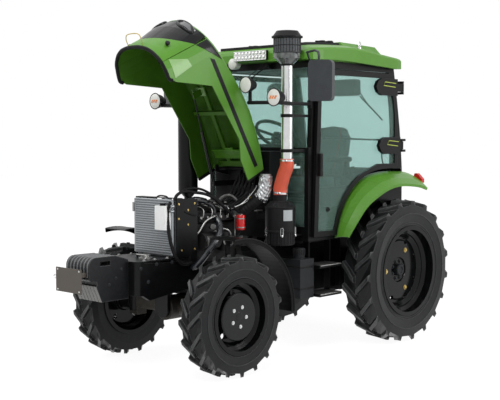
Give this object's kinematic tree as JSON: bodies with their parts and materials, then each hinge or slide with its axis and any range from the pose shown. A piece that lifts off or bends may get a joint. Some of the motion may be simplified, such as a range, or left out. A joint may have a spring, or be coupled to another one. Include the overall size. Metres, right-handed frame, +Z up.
{
  "type": "farm tractor",
  "caption": "Compact four-wheel-drive farm tractor with a closed glazed cab, hood tipped up over an open engine bay, front weights and a rear three-point hitch.",
  "frame": {"origin": "on the ground under the middle of the whole length and width", "axes": "+Z up, the front looks along -Y, the left side is +X"},
  "size_m": [1.8564, 3.7581, 2.6016],
  "materials": {
    "paint_green": "gloss",
    "paint_dark": "satin",
    "paint_black": "satin",
    "paint_grey": "satin",
    "cast": "rough",
    "tyre": "matte",
    "steel": "brushed",
    "aluminium": "satin",
    "plastic_black": "matte",
    "plastic_white": "matte",
    "plastic_red": "gloss",
    "hose_red": "satin",
    "seat_cloth": "woven",
    "glass": "clear",
    "lamp": "gloss"
  },
  "bodies": {
    "chassis": {"front_axle": "cast", "front_frame": "paint_black", "front_weights": "paint_grey", "front_plate": "paint_grey", "engine": "cast", "radiator": "aluminium", "radiator_shroud": "paint_black", "radiator_hoses": "plastic_black", "coolant_bottle": "plastic_white", "air_cleaner": "plastic_black", "intake_hose": "hose_red", "intake_pipe": "steel", "pre_cleaner": "plastic_black", "foil_duct": "aluminium", "exhaust": "paint_black", "gearbox": "paint_black", "rear_axle": "paint_black", "drawbar": "paint_black", "cab_floor": "paint_black", "cab_frame": "paint_black", "cab_glass": "glass", "roof": "paint_green", "roof_hatch": "plastic_black", "seat": "seat_cloth", "dashboard": "plastic_black", "rear_fenders": "paint_green", "tail_lamps": "plastic_red", "mirrors": "plastic_black", "work_lamps": "plastic_black", "steps": "paint_black", "side_boxes": "paint_grey"},
    "hood": {"hood": "paint_green", "hood_frame": "paint_dark", "hood_grille": "plastic_black", "head_lamps": "lamp", "hood_nose": "paint_green"},
    "strut_tube": {"strut_tube": "paint_black"},
    "strut_rod": {"strut_rod": "steel"},
    "door_left": {"door_left": "paint_black", "door_glass_left": "glass"},
    "door_right": {"door_right": "paint_black", "door_glass_right": "glass"},
    "knuckle_left": {"knuckle_left": "paint_black", "mudguard_left": "plastic_black"},
    "knuckle_right": {"knuckle_right": "paint_black", "mudguard_right": "plastic_black"},
    "front_wheel_left": {"front_tyre_left": "tyre", "front_rim_left": "paint_black"},
    "front_wheel_right": {"front_tyre_right": "tyre", "front_rim_right": "paint_black"},
    "rear_wheel_left": {"rear_tyre_left": "tyre", "rear_rim_left": "paint_black"},
    "rear_wheel_right": {"rear_tyre_right": "tyre", "rear_rim_right": "paint_black"},
    "tie_rod": {"tie_rod": "steel"},
    "fan": {"fan": "plastic_black"},
    "steering_wheel": {"steering_wheel": "plastic_black"},
    "lift_arms": {"lift_arms": "paint_grey"},
    "lift_rods": {"lift_rods": "paint_grey"},
    "lower_links": {"lower_links": "paint_grey"}
  },
  "joints": [
    {"name": "steer", "type": "hinge", "parent": "chassis", "child": "knuckle_left", "pos_m": [0.46, -0.88512, 0.444], "axis": [0, 0, 1], "range_deg": [-35, 35]},
    {"name": "steer_right", "type": "hinge", "parent": "chassis", "child": "knuckle_right", "pos_m": [-0.46, -0.88512, 0.444], "axis": [0, 0, 1], "range_deg": [-35, 35]},
    {"name": "tie_rod_shift", "type": "slide", "parent": "chassis", "child": "tie_rod", "axis": [1, 0, 0], "range_m": [-0.1009, 0.1009]},
    {"name": "front_wheel_left_spin", "type": "hinge", "parent": "knuckle_left", "child": "front_wheel_left", "pos_m": [0.602, -0.88512, 0.444], "axis": [1, 0, 0], "continuous": true},
    {"name": "front_wheel_right_spin", "type": "hinge", "parent": "knuckle_right", "child": "front_wheel_right", "pos_m": [-0.602, -0.88512, 0.444], "axis": [1, 0, 0], "continuous": true},
    {"name": "rear_wheel_left_spin", "type": "hinge", "parent": "chassis", "child": "rear_wheel_left", "pos_m": [0.693, 1.03488, 0.6025], "axis": [1, 0, 0], "continuous": true},
    {"name": "rear_wheel_right_spin", "type": "hinge", "parent": "chassis", "child": "rear_wheel_right", "pos_m": [-0.693, 1.03488, 0.6025], "axis": [1, 0, 0], "continuous": true},
    {"name": "hood_tip", "type": "hinge", "parent": "chassis", "child": "hood", "pos_m": [0, -0.27512, 1.49], "axis": [1, 0, 0], "range_deg": [0, 66]},
    {"name": "strut_turn", "type": "hinge", "parent": "chassis", "child": "strut_tube", "pos_m": [-0.096, -0.37512, 1.36], "axis": [1, 0, 0], "range_deg": [0, 66.31]},
    {"name": "strut_stroke", "type": "slide", "parent": "strut_tube", "child": "strut_rod", "axis": [0, -0.2977, 0.9547], "range_m": [-0.1795, 0]},
    {"name": "door_left_swing", "type": "hinge", "parent": "chassis", "child": "door_left", "pos_m": [0.608, 1.21188, 1.655], "axis": [0, 0, 1], "range_deg": [0, 75]},
    {"name": "door_right_swing", "type": "hinge", "parent": "chassis", "child": "door_right", "pos_m": [-0.608, 1.21188, 1.655], "axis": [0, 0, -1], "range_deg": [0, 75]},
    {"name": "steering_wheel_spin", "type": "hinge", "parent": "chassis", "child": "steering_wheel", "pos_m": [0, 0.29488, 1.735], "axis": [0, 0.6157, 0.788], "continuous": true},
    {"name": "fan_spin", "type": "hinge", "parent": "chassis", "child": "fan", "pos_m": [0, -0.95212, 1.0525], "axis": [0, 1, 0], "continuous": true},
    {"name": "lift", "type": "hinge", "parent": "chassis", "child": "lift_arms", "pos_m": [0, 1.20488, 0.9025], "axis": [1, 0, 0], "range_deg": [-20, 32]},
    {"name": "lift_rod_swing", "type": "hinge", "parent": "lift_arms", "child": "lift_rods", "pos_m": [0, 1.46425, 0.88436], "axis": [1, 0, 0], "range_deg": [-32, 20]},
    {"name": "lower_link_swing", "type": "hinge", "parent": "chassis", "child": "lower_links", "pos_m": [0, 1.12488, 0.4125], "axis": [1, 0, 0], "range_deg": [-20, 32]}
  ],
  "couplings": [
    {"joint": "steer_right", "follows": "steer", "ratio": 1},
    {"joint": "tie_rod_shift", "follows": "steer", "m_per_rad": -0.16432},
    {"joint": "strut_turn", "follows": "hood_tip", "ratio": 0.98952},
    {"joint": "strut_stroke", "follows": "hood_tip", "m_per_rad": -0.15495},
    {"joint": "lift_rod_swing", "follows": "lift", "ratio": -1},
    {"joint": "lower_link_swing", "follows": "lift", "ratio": 1}
  ]
}
